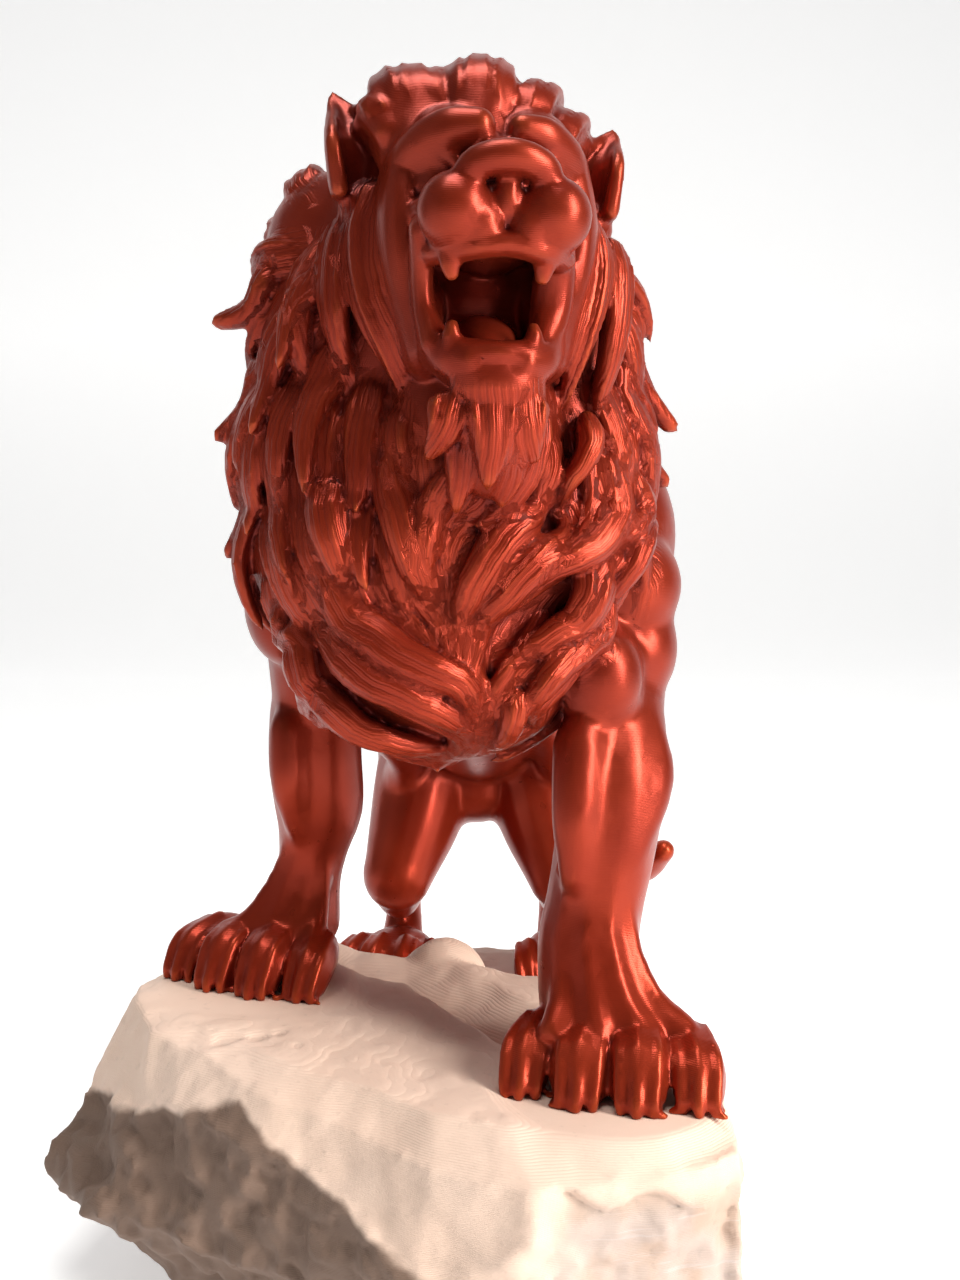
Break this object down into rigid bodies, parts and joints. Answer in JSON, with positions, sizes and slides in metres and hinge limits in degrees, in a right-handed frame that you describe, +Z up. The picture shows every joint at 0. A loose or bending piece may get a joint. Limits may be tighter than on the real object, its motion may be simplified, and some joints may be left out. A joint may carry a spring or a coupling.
{
  "type": "lion sculpture",
  "caption": "Roaring lion with a full carved mane, striding with its forepaws on the high end of a rough crag base; a small printed display figure.",
  "frame": {"origin": "a point on the flat underside of the rock, straight below the lion's shoulders", "axes": "+Z up; the lion faces -Y; its left side is at +X"},
  "size_m": [0.1423, 0.2166, 0.2249],
  "materials": {
    "lion_plastic": "silky copper-red filament print with a satin sheen and fine horizontal layer lines",
    "rock_plastic": "cream filament print, matt, with layer contours on the near-level top and rough broken sides"
  },
  "bodies": {
    "root": {"lion": "lion_plastic", "rock_base": "rock_plastic"}
  },
  "joints": []
}
